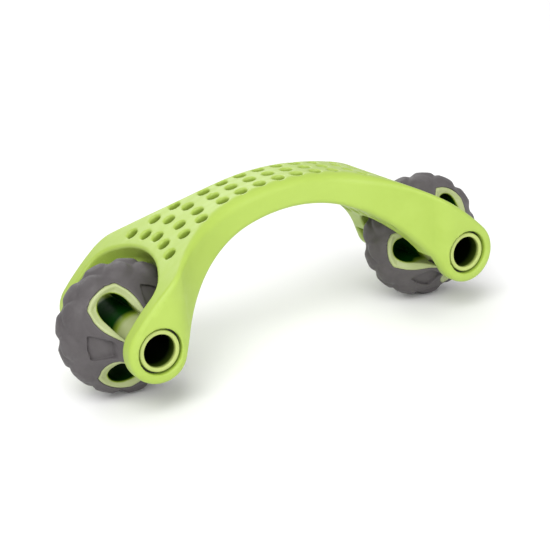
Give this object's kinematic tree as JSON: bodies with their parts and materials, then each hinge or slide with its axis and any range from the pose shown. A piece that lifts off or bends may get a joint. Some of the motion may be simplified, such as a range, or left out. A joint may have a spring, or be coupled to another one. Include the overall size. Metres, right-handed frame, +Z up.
{
  "type": "foot massage roller",
  "caption": "Arched, perforated palm grip that carries a free-spinning studded massage wheel on a hollow axle in the fork at each end.",
  "frame": {"origin": "on the floor under the middle of the grip, midway between the two axles", "axes": "+X along the grip towards the right wheel, +Y along both axles towards the rear arms, +Z up"},
  "size_m": [0.2382, 0.0824, 0.0868],
  "materials": {
    "grip": "satin moulded plastic",
    "tread": "soft matte elastomer",
    "core": "satin moulded plastic",
    "nylon": "dark nylon",
    "steel": "plain pin steel"
  },
  "bodies": {
    "frame": {"handle_frame": "grip", "bush_left_front": "nylon", "bush_left_rear": "nylon", "bush_right_front": "nylon", "bush_right_rear": "nylon"},
    "left_roller": {"left_tread": "tread", "left_core_front": "core", "left_core_rear": "core", "left_core_dowels": "nylon", "left_axle_tube": "core", "left_spring_pins": "steel", "left_washer_front": "nylon", "left_washer_rear": "nylon"},
    "right_roller": {"right_tread": "tread", "right_core_front": "core", "right_core_rear": "core", "right_core_dowels": "nylon", "right_axle_tube": "core", "right_spring_pins": "steel", "right_washer_front": "nylon", "right_washer_rear": "nylon"}
  },
  "joints": [
    {"name": "left_roller_spin", "type": "hinge", "parent": "frame", "child": "left_roller", "pos_m": [-0.08675, 0, 0.0324], "axis": [0, 1, 0], "continuous": true},
    {"name": "right_roller_spin", "type": "hinge", "parent": "frame", "child": "right_roller", "pos_m": [0.08675, 0, 0.0324], "axis": [0, 1, 0], "continuous": true}
  ]
}
